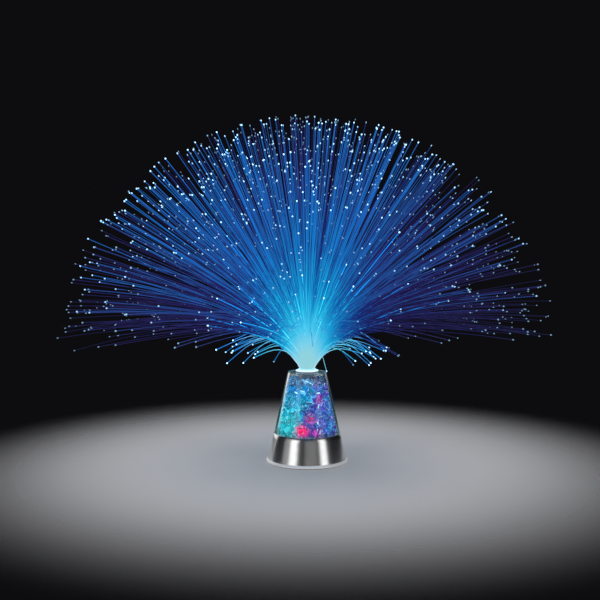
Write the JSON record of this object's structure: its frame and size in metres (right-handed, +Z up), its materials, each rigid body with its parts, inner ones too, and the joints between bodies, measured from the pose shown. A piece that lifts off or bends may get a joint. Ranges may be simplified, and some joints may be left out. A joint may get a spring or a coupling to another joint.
{
  "type": "fiber optic tree lamp",
  "caption": "Free-standing fibre optic lamp: steel skirt, clear cone of lit crystals and a round spray of glowing fibres, with an underside switch and battery door.",
  "frame": {"origin": "on the floor, under the middle of the foot ring", "axes": "+Z up along the lamp's axis, +X along the battery cells, towards the door's hinge, and the switch on the +Y side"},
  "size_m": [0.4572, 0.463, 0.3322],
  "materials": {
    "bright_steel": "bright turned steel with a soft grain round it",
    "clear_acrylic": "clear polished acrylic",
    "crystal": "crushed clear acrylic, lit from below",
    "frosted_collar": "pale translucent plastic, lit from inside",
    "lit_fibre": "clear optical fibre carrying blue light",
    "fibre_ends": "polished fibre ends in potting",
    "black_plastic": "fine moulded texture",
    "white_plastic": "plain moulding",
    "ivory_plastic": "plain moulding",
    "soft_foot": "soft matte ring",
    "screw_steel": "zinc-plated",
    "spring_steel": "nickel-plated spring steel",
    "cell_wrap": "plain foil wrap",
    "switch_case": "plain moulding",
    "red_wire": "insulated wire",
    "black_wire": "insulated wire",
    "board_green": "solder mask",
    "led_lens": "moulded lens",
    "chip_black": "moulded chip"
  },
  "bodies": {
    "base": {"foot_ring": "soft_foot", "base_cover": "black_plastic", "cover_screws": "screw_steel", "base_housing": "white_plastic", "skirt": "bright_steel", "battery_cells": "cell_wrap", "battery_springs": "spring_steel", "contact_plates": "spring_steel", "switch_body": "switch_case", "switch_screws": "screw_steel", "red_leads": "red_wire", "black_lead": "black_wire", "led_board": "board_green", "crystal_leds": "led_lens", "spray_led": "led_lens", "control_chip": "chip_black", "resistors": "chip_black", "board_screws": "screw_steel", "reflector": "white_plastic", "cone_shell": "clear_acrylic", "cone_floor": "clear_acrylic", "light_guide": "clear_acrylic", "crystals": "crystal", "top_plate": "clear_acrylic", "socket_collar": "frosted_collar"},
    "door": {"battery_door": "black_plastic"},
    "slider": {"switch_slider": "ivory_plastic"},
    "spray": {"spray_ferrule": "frosted_collar", "bundle_core": "fibre_ends", "fibre_tuft_1": "lit_fibre", "fibre_tuft_2": "lit_fibre", "fibre_tuft_3": "lit_fibre", "fibre_tuft_4": "lit_fibre", "fibre_tuft_5": "lit_fibre", "fibre_tuft_6": "lit_fibre"}
  },
  "joints": [
    {"name": "battery_door_hinge", "type": "hinge", "parent": "base", "child": "door", "pos_m": [0.0237, 0, 0.0023], "axis": [0, -1, 0], "range_deg": [0, 95]},
    {"name": "switch_slide", "type": "slide", "parent": "base", "child": "slider", "axis": [1, 0, 0], "range_m": [0, 0.003]},
    {"name": "spray_lift", "type": "slide", "parent": "base", "child": "spray", "axis": [0, 0, 1], "range_m": [0, 0.05]}
  ]
}
